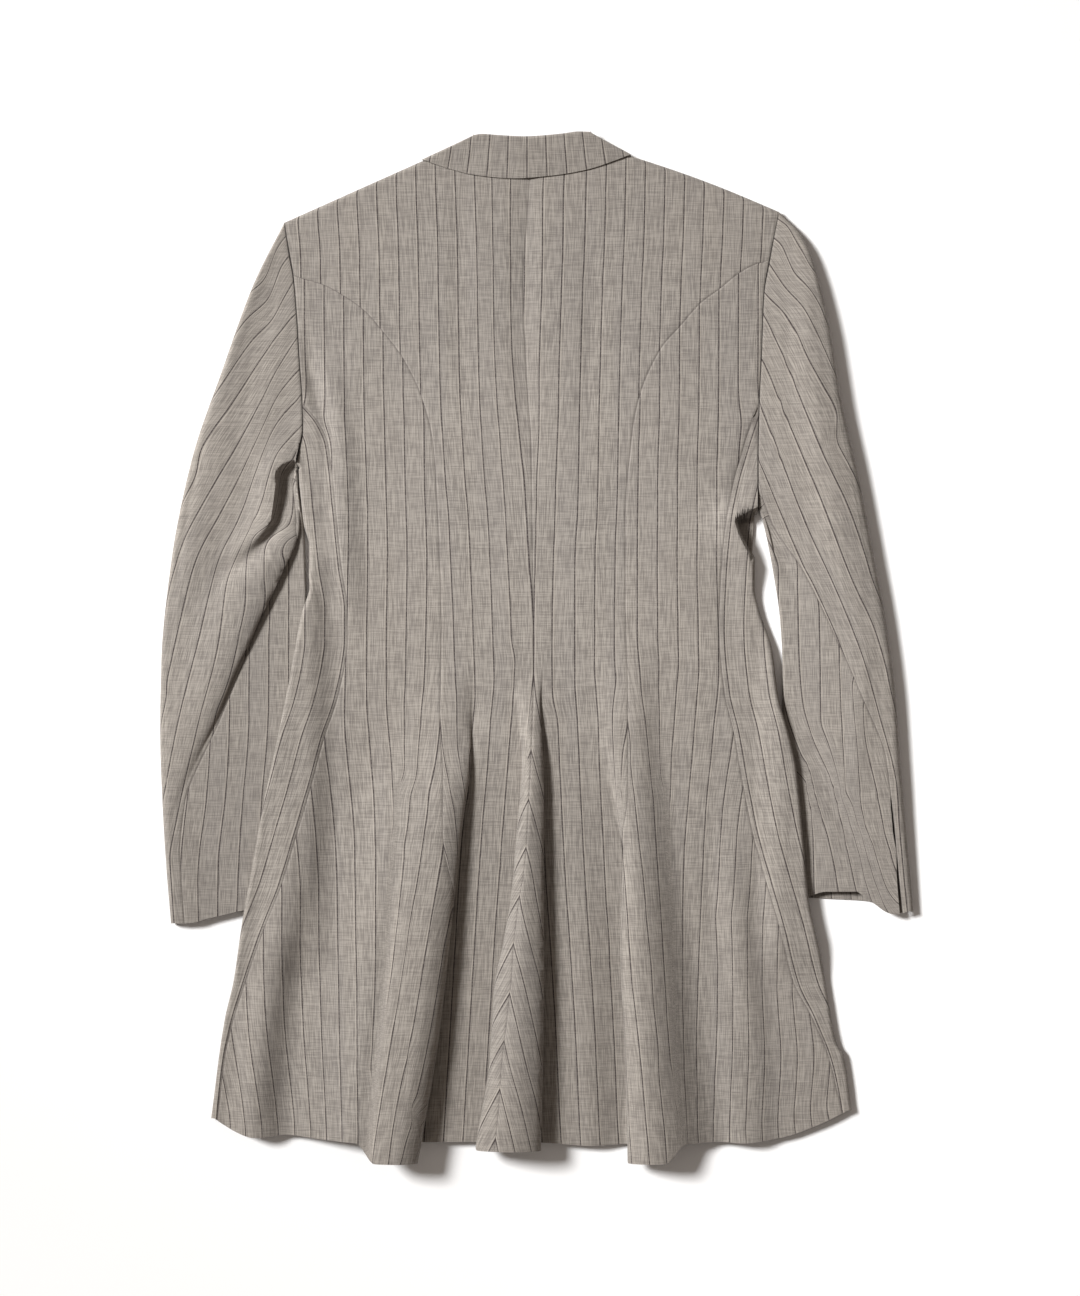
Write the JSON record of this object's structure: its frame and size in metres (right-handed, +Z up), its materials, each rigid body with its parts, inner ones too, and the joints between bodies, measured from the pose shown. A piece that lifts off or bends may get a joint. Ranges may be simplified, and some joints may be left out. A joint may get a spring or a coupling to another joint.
{
  "type": "flared jacket",
  "caption": "Fitted long-sleeved jacket with princess seams, a small stand collar with a fall and a flared skirt, laid flat on its front with the back up",
  "frame": {"origin": "on the surface the jacket lies on, under the middle of its overall length and width", "axes": "+X across the back towards the sleeve on the right of the picture, +Y from the hem up to the collar, +Z up from the surface, out of the back"},
  "size_m": [0.627, 0.8605, 0.032],
  "materials": {
    "back_cloth": "fine worsted, matt, with dark pinstripes 16 mm apart",
    "front_cloth": "fine worsted, matt, with dark pinstripes 16 mm apart",
    "sleeve_cloth": "fine worsted, matt, with dark pinstripes 16 mm apart",
    "collar_cloth": "fine worsted, matt, with dark pinstripes 16 mm apart"
  },
  "bodies": {
    "root": {"back_centre_left": "back_cloth", "back_centre_right": "back_cloth", "back_side_left": "back_cloth", "back_side_right": "back_cloth", "front_left": "front_cloth", "front_right": "front_cloth", "upper_sleeve_left": "sleeve_cloth", "upper_sleeve_right": "sleeve_cloth", "under_sleeve_left": "sleeve_cloth", "under_sleeve_right": "sleeve_cloth", "collar": "collar_cloth", "collar_stand": "collar_cloth"}
  },
  "joints": []
}
